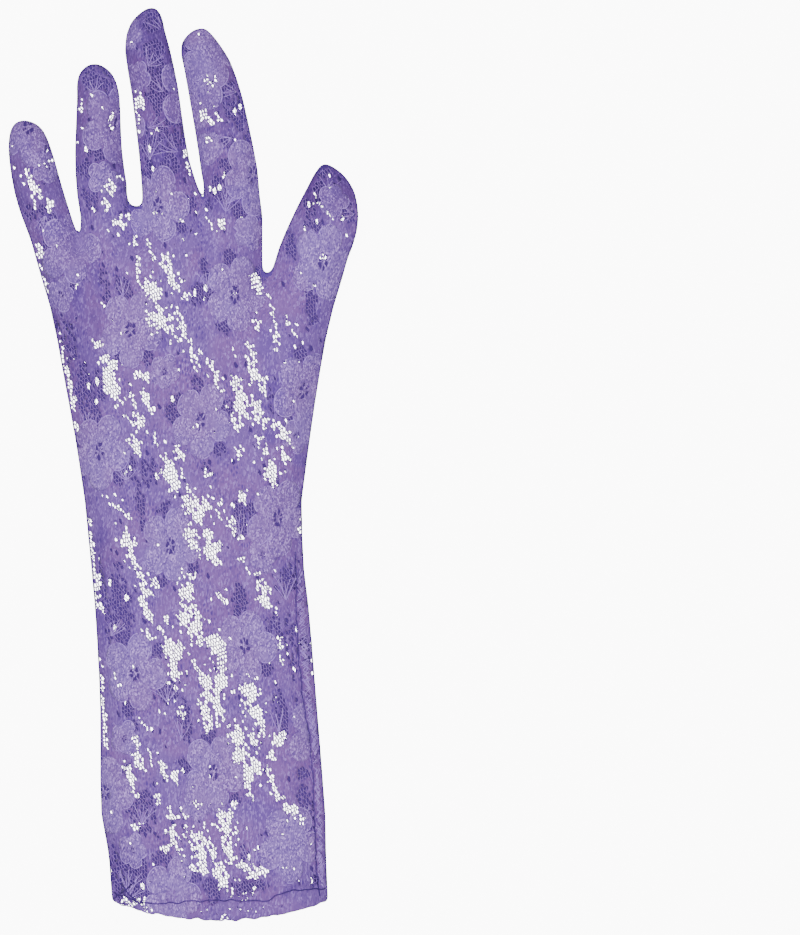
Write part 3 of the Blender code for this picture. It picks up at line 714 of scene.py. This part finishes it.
# The grain is drawn coarser than the real threads, which are too fine to show
def lace_thread(name, dye, grain=0.0008, stretch=0.75, strength=0.7, charted=False, net=None, inner=None):
    """Nylon thread worked to clothwork: a fine grain of threads, in patches that run two ways and
    are stronger in some places, light specks painted as highlights where they turn to the light,
    and slow drifts of the dye. Sheer places show the meshes of their net, with painted shade in the
    holes, and the faces that look into the glove are painted deeper as painted shade."""
    material, tree, place = new_material(name)
    turned = [add(tree, "ShaderNodeMapping", "Vector", {
        "Vector": place, "Rotation": (0.0, 0.0, turn), "Scale": (1.0, stretch, 1.0),
    }) for turn in (-MESH_LEAN, WEAVE_TURN)]
    *runs, which = [
        add(tree, "ShaderNodeTexVoronoi", "Color", {"Vector": at, "Scale": 1.0 / size})
        for at, size in ((turned[0], grain), (turned[1], grain), (place, WEAVE_PATCH))]
    grains = dyed_over(tree, *runs, which, (0.55, 0.57))
    drift, patches = [
        add(tree, "ShaderNodeTexNoise", "Fac", {"Vector": place, "Scale": scale, "Detail": detail})
        for scale, detail in ((45.0, 2.0), (110.0, 1.0))]
    colour = dyed_over(tree, dye.plain, dye.pink, drift, (0.42, 0.60))
    if charted:
        charted_dye = add(tree, "ShaderNodeAttribute", "Fac", attribute_name="dye")
        colour = dyed_over(tree, colour, dye.violet, charted_dye, (-0.15, -0.9))
        colour = dyed_over(tree, colour, dye.pink, charted_dye, (0.15, 0.9))
    patches = add(tree, "ShaderNodeMapRange", "Result", {
        "Value": patches, "From Min": 0.12, "From Max": 0.50})
    felt = add(tree, "ShaderNodeMath", "Value", {0: patches, 1: strength}, operation="MULTIPLY")
    colour = dyed_over(tree, colour, dye.deep, grains, (0.48, 0.10), felt)
    # Painted highlights: light specks on the grain
    colour = dyed_over(tree, colour, dye.speck, grains, (0.60, 0.88), felt)
    # Sheer places: the real meshes of the net, with their holes painted in the dark net colour as painted
    # shade from inside the glove
    if net:
        sheer = add(tree, "ShaderNodeAttribute", "Fac", attribute_name="sheer")
        hole = add(tree, "ShaderNodeTexVoronoi", "Distance", {
            "Vector": turned[0], "Scale": 1.0 / BACK_MESHES.width, "Randomness": 0.7,
        }, feature="DISTANCE_TO_EDGE")
        colour = dyed_over(tree, colour, net, hole, (0.10, 0.36), sheer)
    # Faces noted inner look into the glove and are painted deeper: painted shade inside the glove
    if inner:
        inside = add(tree, "ShaderNodeAttribute", "Fac", attribute_name="inner")
        colour = dyed_over(tree, colour, inner, inside)
    # Painted shade: the colour is multiplied deeper by the chart's shade
    if charted:
        shade = add(tree, "ShaderNodeAttribute", "Fac", attribute_name="shade")
        colour = dyed_over(tree, colour, PAINTED_SHADE_TINT, shade, how="MULTIPLY")
    relief = add(tree, "ShaderNodeBump", "Normal", {
        "Height": grains, "Strength": 0.25, "Distance": 0.0001})
    feed(tree, tree.nodes["Principled BSDF"], {
        "Base Color": colour, "Normal": relief, "Roughness": 0.78, "Sheen Weight": 0.08,
        "Sheen Roughness": 0.45, "Specular IOR Level": 0.2})
    return material


# Painted shade: the colour of the faces that look into the glove
PAINTED_INSIDE_SHADE = "#5a3b95"
flower_cloth = lace_thread(
    "nylon_clothwork", Dye("#8969be", "#7858b0", "#8964b4", "#624597", "#caa0fc"), grain=0.00042,
    stretch=0.6, strength=1.0, charted=True)
ground_cloth = lace_thread(
    "nylon_half_stitch", Dye("#7c59ad", "#6d4ba3", "#8358a8", "#614296", "#ae88e6"),
    grain=0.00052, stretch=0.45, charted=True, net="#573891", inner=PAINTED_INSIDE_SHADE)
# The palm's cloth and net are painted deeper than the back's: painted shade inside the glove
palm_cloth = lace_thread(
    "nylon_palm_cloth", Dye("#7350ac", "#60409c", "#7a50a8", "#5c3c94", "#9068cc"),
    grain=0.00070, charted=True, net="#54348e", inner=PAINTED_INSIDE_SHADE)
window_yarn = lace_thread("nylon_net_yarn", Dye("#8a68be", "#7250a6", "#8862b4", "#6e4ea0", "#ac84ea"))
# A copy of the net yarn painted a little deeper, for nets over the glove's inside: painted shade
shaded_yarn = lace_thread("nylon_shaded_yarn", Dye("#8662b8", "#7452aa", "#8862b4", "#6e4ea0", "#ac84ea"))
gimp_yarn = lace_thread("nylon_gimp_yarn", Dye("#b48cf0", "#a27adc", "#b086e6", "#9670d0", "#d4aefc"))
seam_yarn = lace_thread(
    "overlocked_seam_yarn", Dye("#3c2270", "#341c66", "#523484", "#2c1656", "#62429a"),
    grain=0.0006)


# The lace ground
MESH_CORNERS = ((1, 2), (0, 1), (0, 0), (1, -1), (2, 0), (2, 1))


def ground_meshes(lattice, seed):
    """Corners of the six-sided meshes over the glove, cut at its outline, and the meshes."""
    low, high = outline.min(axis=0) - GROUND_MARGIN, outline.max(axis=0) + GROUND_MARGIN
    middle, reach = (low + high) / 2, np.linalg.norm(high - low) / 2
    half = int(reach / lattice.row) + 2
    cols = int(reach / lattice.width) + 2
    r, c = (a.ravel() for a in np.mgrid[-half:half, -cols:cols])
    h = 2 * c + (r & 1)
    keys = np.array([(h + i, 2 * r + j) for i, j in MESH_CORNERS]).transpose(2, 0, 1)
    unique, index = np.unique(keys.reshape(-1, 2), axis=0, return_inverse=True)
    meshes = index.reshape(-1, 6)
    i, j = unique.T
    rng = np.random.default_rng(seed)
    x = i * lattice.width / 2 + rng.normal(0.0, lattice.wander, len(i))
    y = j // 2 * lattice.row + (j % 2 - 0.5) * lattice.side
    y += rng.normal(0.0, 1.4 * lattice.wander, len(j))
    cos, sin = math.cos(lattice.lean), math.sin(lattice.lean)
    places = np.column_stack((middle[0] + x * cos - y * sin, middle[1] + x * sin + y * cos))
    inside = within(places, outline)
    meshes = meshes[inside[meshes].any(axis=1)]
    used, index = np.unique(meshes, return_inverse=True)
    places, inside, meshes = places[used], inside[used], index.reshape(-1, 6)
    rim, away = nearest(outline_tree, places)
    on_rim = ~inside | (away < ON_RIM)
    places = np.where(on_rim[:, None], outline[rim], places)
    reach = np.ptp(places[meshes], axis=1).max(axis=1)
    first = np.where(on_rim, rim, len(outline))[meshes].min(axis=1)
    last = np.where(on_rim, rim, -1)[meshes].max(axis=1)
    near = (last - first) * np.linalg.norm(outline[1] - outline[0]) < SPAN_LIMIT
    near |= last - first > len(outline) // 2
    meshes = meshes[(reach < 1.3 * (2.0 * lattice.row - lattice.side)) & near]
    return places, on_rim & ~on_mouth[rim], meshes


def worked_ground(name, up, lattice, seed, cloth, openings=None):
    """One side of the glove: closed meshes as clothwork, open ones as nets. The palm is open
    under the back's windows."""
    places, on_rim, meshes = ground_meshes(lattice, seed)
    centres = places[meshes].mean(axis=1)
    middles = chart_steps(centres)
    windows = nearest(openings, centres)[1] < UNDER_WINDOW if openings else window_open(middles)
    nets = (up > 0) & net_open(middles) & ~windows
    eyes = (up > 0) & eye_open(middles) & ~windows
    closed = ~windows & ~nets & ~eyes
    corners = lay(places, up, 0.0, on_rim)
    if up < 0:
        meshes = meshes[:, ::-1]
    window_thread = BACK_WINDOW_THREAD if up > 0 else PALM_WINDOW_THREAD
    made = []
    for part, chosen, thread, stuff in (
            ("cloth", closed, None, cloth), ("window_net", windows, window_thread, window_yarn),
            ("dark_net", nets & ~eyes, NET_THREAD, shaded_yarn)):
        if not chosen.any():
            continue
        used, index = np.unique(meshes[chosen], return_inverse=True)
        piece = new_piece(f"{name}_{part}", corners[used], index.reshape(-1, 6), stuff)
        if part == "cloth":
            chart_values(piece, 1.0, 1.0)
            finish_with(piece, "SOLIDIFY", thickness=CLOTH_THICKNESS, offset=0.0)
            # Faces that look into the glove are noted inner, for their painted shade
            note_on(piece, "FACE", inner=[f.normal.z * up < 0.0 for f in piece.data.polygons])
        else:
            depth = depth_in(chart_steps(places[used]), WINDOWS, 19.0, 0.6)[0]
            group = piece.vertex_groups.new(name="shallow")
            for i, weight in enumerate(np.clip(1.0 - 2.5 * depth, 0.0, 1.0)):
                group.add([i], weight, "REPLACE")
            finish_with(piece, "WIREFRAME", thickness=thread, use_even_offset=False, use_boundary=True,
                        vertex_group="shallow", thickness_vertex_group=DEEP_WINDOW_SHARE)
        made.append(piece)
    flat = places[meshes[closed]]
    ahead = np.roll(flat, -1, axis=1)
    area = abs((flat[..., 0] * ahead[..., 1] - flat[..., 1] * ahead[..., 0]).sum()) / 2
    return made, area, centres[windows]


(back_cloth, *back_nets), back_area, window_places = worked_ground(
    "back_lace", 1, BACK_MESHES, 5, ground_cloth)
window_tree = tree_of(window_places)
(palm_lace, *palm_nets), palm_area, _ = worked_ground(
    "palm_lace", -1, PALM_MESHES, 8, palm_cloth, window_tree)


# Flowers
def circle(angle):
    """Points of a round of radius 1."""
    return np.column_stack((np.cos(angle), np.sin(angle)))


def petal_reach(angle, kind, swell):
    """How far a flower's outline reaches over and up at each angle: five rounded petals."""
    turn = angle - math.radians(66.0)
    wave = np.abs(np.cos(2.5 * turn))
    petal = np.round(turn / math.radians(72.0)).astype(int) % 5
    lobe = (1.0 - kind.notch * (1.0 - wave ** 0.55)) * (1.0 + (swell[petal] - 1.0) * wave)
    return kind.reach * lobe[:, None] * circle(angle)


def spoked(sides, spokes, rng):
    """Which steps round an eye are spokes, uneven in place and width."""
    round_eye = np.arange(sides) / sides * spokes
    at = np.arange(spokes) + rng.uniform(-0.25, 0.25, spokes)
    away = np.abs((round_eye[:, None] - at + spokes / 2) % spokes - spokes / 2)
    return (away < rng.uniform(0.10, 0.26, spokes)).any(axis=1)


def add_flower(gather, cords, eye, chart_eye, kind, up, rng):
    """A flower of clothwork, its petals' edges corded here and there. A pierced one has an eye,
    a button held by spokes."""
    sides, rings, spokes = (120, 9, 6) if kind.reach[0] > 20 else (75, 6, 5)
    angle = 2 * math.pi * np.arange(sides) / sides
    outer = petal_reach(angle, kind, rng.uniform(0.90, 1.07, 5))
    turn = flower_turn(chart_eye)
    c, s = math.cos(turn), math.sin(turn)
    bends = rng.uniform(0.0, 2 * math.pi, 3)
    uneven = 1.0 + 0.12 * np.sin(2 * angle + bends[0]) + 0.10 * np.sin(5 * angle + bends[1])
    inner = np.multiply(EYE_SHARE, kind.reach) * circle(angle) * uneven[:, None]
    button = 0.44 * (1.0 + 0.25 * np.sin(3 * angle + bends[2]))
    shells = [inner * 0.05, inner * button[:, None]]
    shells += [inner + (outer - inner) * t for t in np.linspace(0.0, 1.0, rings + 1)]
    rings = len(shells) - 1
    x, y = np.vstack(shells).T
    steps = np.column_stack((eye[0] + x * c - y * s, eye[1] - x * s - y * c))
    places = chart_places(steps)
    inside = within(places, outline)
    rim, away = nearest(outline_tree, places)
    out = ~inside & (away < NEAR_RIM)
    places[out] = outline[rim[out]]
    usable = inside | out
    swelling = FLOWER_LIFT + rng.uniform(0.0, 0.00004)
    swelling += PETAL_SWELL * np.sin(np.linspace(0.3, 2.6, rings + 1))
    corners = lay(places, up, np.repeat(swelling, sides), (out | (away < ON_RIM)) & ~on_mouth[rim])
    worked = spoked(sides, spokes, rng) if kind.pierced else np.ones(sides, bool)
    faces = faces_between(rings, sides, True)[:, (0, 3, 2, 1)]
    ring, k = np.divmod(faces[:, 0], sides)
    faces = faces[(ring != 1) | worked[k]]
    middles = places[faces].mean(axis=1)
    cut = nearest(window_tree, middles)[1] < (WINDOW_REACH if up > 0 else UNDER_WINDOW)
    cut |= past_side_seam(chart_steps(middles))
    faces = faces[usable[faces].all(axis=1) & ~cut & (inside[faces].sum(axis=1) >= 2)]
    if not len(faces):
        return
    if up < 0:
        faces = faces[:, ::-1]
    used, index = np.unique(faces, return_inverse=True)
    gather.add(corners[used], index.reshape(-1, 4).tolist())
    edge = slice(rings * sides, (rings + 1) * sides)
    corded = ((field(steps[edge], (9.0, 12.0), 31.0) > 0.30)
              | (depth_in(steps[edge], OPEN_NETS, 8.0)[0] > -0.4))
    clear = inside[edge] & (away[edge] > 0.0006) & corded & ~past_side_seam(steps[edge])
    clear &= nearest(window_tree, places[edge])[1] > WINDOW_REACH
    line = lay(places[edge], up, FLOWER_LIFT + FLOWER_THICKNESS + 0.3 * CORD_RADIUS)
    for run, closed in runs_of(clear, True):
        add_cord(cords, line[run], CORD_RADIUS, closed=closed)


def flowers_of_side(name, up, shift, flowers, seed, stuff):
    """Flowers, their cords and the ribs of one side, shifted on the chart."""
    gather, cords = Gather(), Gather()
    rng = np.random.default_rng(seed)
    for kind in flowers:
        for x, y in kind.eyes:
            add_flower(gather, cords, (x + shift[0], y + shift[1]), (x, y), kind, up, rng)
    for fan in FANS:
        for k in range(fan.ribs):
            a = math.radians(fan.turn + fan.spread * (k / (fan.ribs - 1) - 0.5) + rng.uniform(-5.0, 5.0))
            t = np.linspace(0.0, 1.0, 9)
            length = fan.length * rng.uniform(0.65, 1.1)
            bow = rng.uniform(-1.5, 1.5) * np.sin(math.pi * t)
            steps = np.column_stack((
                shift[0] + fan.x + length * t * math.cos(a) + bow * math.sin(a),
                shift[1] + fan.y - length * t * math.sin(a) + bow * math.cos(a)))
            places = chart_places(steps)
            clear = within(places, outline) & (nearest(window_tree, places)[1] > WINDOW_REACH)
            line = lay(places, up, FLOWER_LIFT)
            for run, _ in runs_of(clear):
                add_cord(cords, line[run], 0.8 * CORD_RADIUS, 4)
    petals = gather.piece(f"{name}_flowers", stuff)
    chart_values(petals, 0.0, 0.65)
    finish_with(petals, "SOLIDIFY", thickness=FLOWER_THICKNESS, offset=1.0)
    return petals, cords.piece(f"{name}_cords", gimp_yarn)


Kind = namedtuple("Kind", "eyes reach notch pierced")
MAIN_KIND = Kind(MAIN_FLOWERS, MAIN_REACH, 0.46, True)
BACK_KINDS = (MAIN_KIND, Kind(PLAIN_FLOWERS, MAIN_REACH, 0.46, False),
              Kind(SMALL_FLOWERS, SMALL_REACH, 0.36, True),
              Kind(SMALL_PLAIN_FLOWERS, SMALL_REACH, 0.36, False))
back_flowers, back_cords = flowers_of_side("back_lace", 1, (0, 0), BACK_KINDS, 21, flower_cloth)
palm_flowers, palm_cords = flowers_of_side("palm_lace", -1, (22, -46), (MAIN_KIND,), 22, flower_cloth)


# Seam round the outline, hem at the mouth and stitching
def seam_piece():
    """The cord of the seam that joins the back to the palm, all round but at the mouth."""
    seam = Gather()
    loop = np.column_stack((outline, np.full(len(outline), SEAM_LEVEL + SEAM_CORD_RADIUS)))[::2]
    for run, closed in runs_of(~on_mouth[::2], True):
        add_cord(seam, loop[run], SEAM_CORD_RADIUS, 6, closed)
    return seam.piece("edge_seam", seam_yarn)


edge_seam = seam_piece()


def forearm_edge(side, y):
    """How far out the forearm's edge lies on one side, at heights along it."""
    edge = outline[(outline[:, 1] < FOREARM_TOP) & ~on_mouth & (outline[:, 0] * side > 0.0)]
    return np.interp(y, *edge[np.argsort(edge[:, 1])].T[::-1])


def sewn_line(chart_line, wander, seed):
    """Places along a row of stitches on the chart, a little unsteady."""
    corners = np.array(chart_line, float)
    run = np.r_[0.0, np.cumsum(np.linalg.norm(np.diff(corners, axis=0), axis=1))]
    at = np.arange(0.0, run[-1], 1.2)
    steps = np.column_stack([np.interp(at, run, corners[:, k]) for k in (0, 1)])
    for _ in range(6):
        steps[1:-1] = (steps[:-2] + 2.0 * steps[1:-1] + steps[2:]) / 4.0
    steps[:, 0] += wander * field(steps, (9.0, 9.0), seed)
    steps[:, 1] += wander * field(steps, (9.0, 9.0), seed + 7.0)
    return chart_places(steps)


HEM_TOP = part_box("cuff_hem")[1].y


def hem_pieces():
    """The doubled hem: a strip over the back and one under the palm, and its row of stitches."""
    strip, stitches = Gather(), Gather()
    edge = outline[on_mouth]
    edge = edge[np.argsort(edge[:, 0])][::2]
    along = (edge[:, 0] - edge[0, 0]) / (edge[-1, 0] - edge[0, 0])
    rows = 13
    for up in (1, -1):
        layers = []
        for t in np.linspace(0.0, 1.0, rows):
            y = edge[:, 1] + (HEM_TOP - edge[:, 1]) * t
            left, right = forearm_edge(-1, y), forearm_edge(1, y)
            x = left + (right - left) * along if t > 0.0 else edge[:, 0]
            layers.append(np.column_stack((x, y)))
        places = np.vstack(layers)
        corners = lay(places, up, HEM_LIFT)
        faces = faces_between(rows - 1, len(edge))
        middles = places[faces].mean(axis=1)
        cut = (nearest(window_tree, middles)[1] < WINDOW_REACH) | net_open(chart_steps(middles))
        faces = faces[~cut]
        strip.add(corners, (faces if up > 0 else faces[:, ::-1]).tolist())
        line = sewn_line(HEM_STITCHES, 1.6, 41.0)
        add_cord(stitches, lay(line, up, STITCH_LIFT if up > 0 else HEM_LIFT), STITCH_RADIUS)
    for tack in TACKS:
        add_cord(stitches, lay(sewn_line(tack, 1.0, 43.0), 1, STITCH_LIFT), STITCH_RADIUS)
    band = strip.piece("hem_band", ground_cloth)
    chart_values(band, 0.6, 1.0)
    finish_with(band, "SOLIDIFY", thickness=HEM_THICKNESS, offset=-1.0)
    return band, stitches.piece("hem_stitches", seam_yarn)


hem_band, hem_stitches = hem_pieces()


def side_seam_pieces():
    """The spare cloth inside the thumb side, the stitches that hold it and the hatching."""
    low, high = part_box("side_seam")
    ys = np.linspace(low.y, high.y, 90)
    strip, stitches = Gather(), Gather()
    right = forearm_edge(1, ys)
    sides = [np.column_stack((right - inset, ys, np.full(len(ys), SEAM_LEVEL)))
             for inset in ALLOWANCE_INSETS]
    strip.add(np.vstack(sides), faces_between(1, len(ys)).tolist())
    allowance = strip.piece("seam_allowance", seam_yarn)
    finish_with(allowance, "SOLIDIFY", thickness=ALLOWANCE_THICKNESS, offset=0.0)
    line = sewn_line(SIDE_STITCHES, 1.0, 47.0)
    add_cord(stitches, lay(line, 1, STITCH_LIFT), STITCH_RADIUS)
    line = line[np.argsort(line[:, 1])]
    rng = np.random.default_rng(61)
    hatch = Gather()
    strokes = np.arange(low.y, high.y, HATCH_PITCH)
    for y in strokes + rng.uniform(-HATCH_PITCH, HATCH_PITCH, len(strokes)):
        start = np.array((np.interp(y, *line.T[::-1]) + HATCH_INSETS[0], y))
        way = rng.choice((-1.0, 1.0))
        end = np.array((forearm_edge(1, y) - HATCH_INSETS[1], y + way * rng.uniform(*HATCH_SLANT)))
        share = np.linspace(rng.uniform(0.0, 0.5), rng.uniform(0.6, 1.0), 6)[:, None]
        add_cord(stitches if rng.random() < 0.12 else hatch,
                 lay(start + (end - start) * share, 1, HATCH_LIFT), 0.6 * STITCH_RADIUS, 4)
    return allowance, stitches.piece("side_stitches", seam_yarn), hatch.piece("side_hatch", gimp_yarn)


seam_allowance, side_stitches, side_hatch = side_seam_pieces()


# What each piece stands for and rides on
slots = {
    "back_lace": (back_cloth, *back_nets, back_flowers, back_cords),
    "palm_lace": (palm_lace, *palm_nets, palm_flowers, palm_cords),
    "hem_lace": (hem_band, hem_stitches),
    "seam_cloth": (edge_seam, seam_allowance, side_stitches, side_hatch),
}
for slot_name, pieces in slots.items():
    for piece in pieces:
        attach(piece, "root")
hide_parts("back_panel")
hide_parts("palm_panel")
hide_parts("cuff_hem")
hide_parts("side_seam")


# Floor, camera and lights
FLOOR_GLOW = 9.0
FLOOR_LEVEL = -0.0003
FLOOR_REACH = 8.0


def paper_floor():
    """White backing paper on a light table, matt and faintly mottled, wider than the view."""
    material, tree, place = new_material("matt_white_paper")
    mottle = add(tree, "ShaderNodeTexNoise", "Fac", {"Vector": place, "Scale": 6.0, "Detail": 2.0})
    feed(tree, tree.nodes["Principled BSDF"], {
        "Base Color": dyed_over(tree, "#fbfbfb", "#ffffff", mottle), "Roughness": 0.9,
        "Specular IOR Level": 0.1, "Emission Color": "#ffffff", "Emission Strength": FLOOR_GLOW})
    corners = [(x * FLOOR_REACH, y * FLOOR_REACH, FLOOR_LEVEL)
               for x, y in ((-1, -1), (1, -1), (1, 1), (-1, 1))]
    floor = new_piece("paper_floor", corners, [(0, 1, 2, 3)], material)
    floor.visible_diffuse = False
    floor.visible_glossy = False


paper_floor()

VIEW_HEIGHT = 3.0
VIEW_LEVEL = 0.006
VIEW_TALL = 935 * CHART_STEP
view_x, view_y = chart_places((400.0, 467.5))
camera_data = bpy.data.cameras.new("overhead_camera")
camera = in_scene("overhead_camera", camera_data)
camera.location = (view_x, view_y, VIEW_HEIGHT)
camera_data.lens = camera_data.sensor_width * (VIEW_HEIGHT - VIEW_LEVEL) / VIEW_TALL
camera_data.clip_start = 0.1
camera_data.clip_end = 50.0
bpy.context.scene.camera = camera


def soft_light(name, place, target, size, power):
    data = bpy.data.lights.new(name, "AREA")
    data.shape = "DISK"
    data.size = size
    data.energy = power
    lamp = in_scene(name, data)
    lamp.location = place
    lamp.rotation_euler = (Vector(target) - Vector(place)).to_track_quat("-Z", "Y").to_euler()


soft_light("overhead_key", (view_x, view_y, VIEW_HEIGHT + 0.05), (view_x, view_y, 0.0), 0.12, 84.0)
soft_light("side_fill", (-1.6, 1.4, 1.6), (0.0, 0.0, 0.0), 1.2, 14.0)

world = bpy.data.worlds.new("pale_room")
world.use_nodes = True
feed(world.node_tree, world.node_tree.nodes["Background"], {"Color": "#ffffff", "Strength": 0.5})
bpy.context.scene.world = world
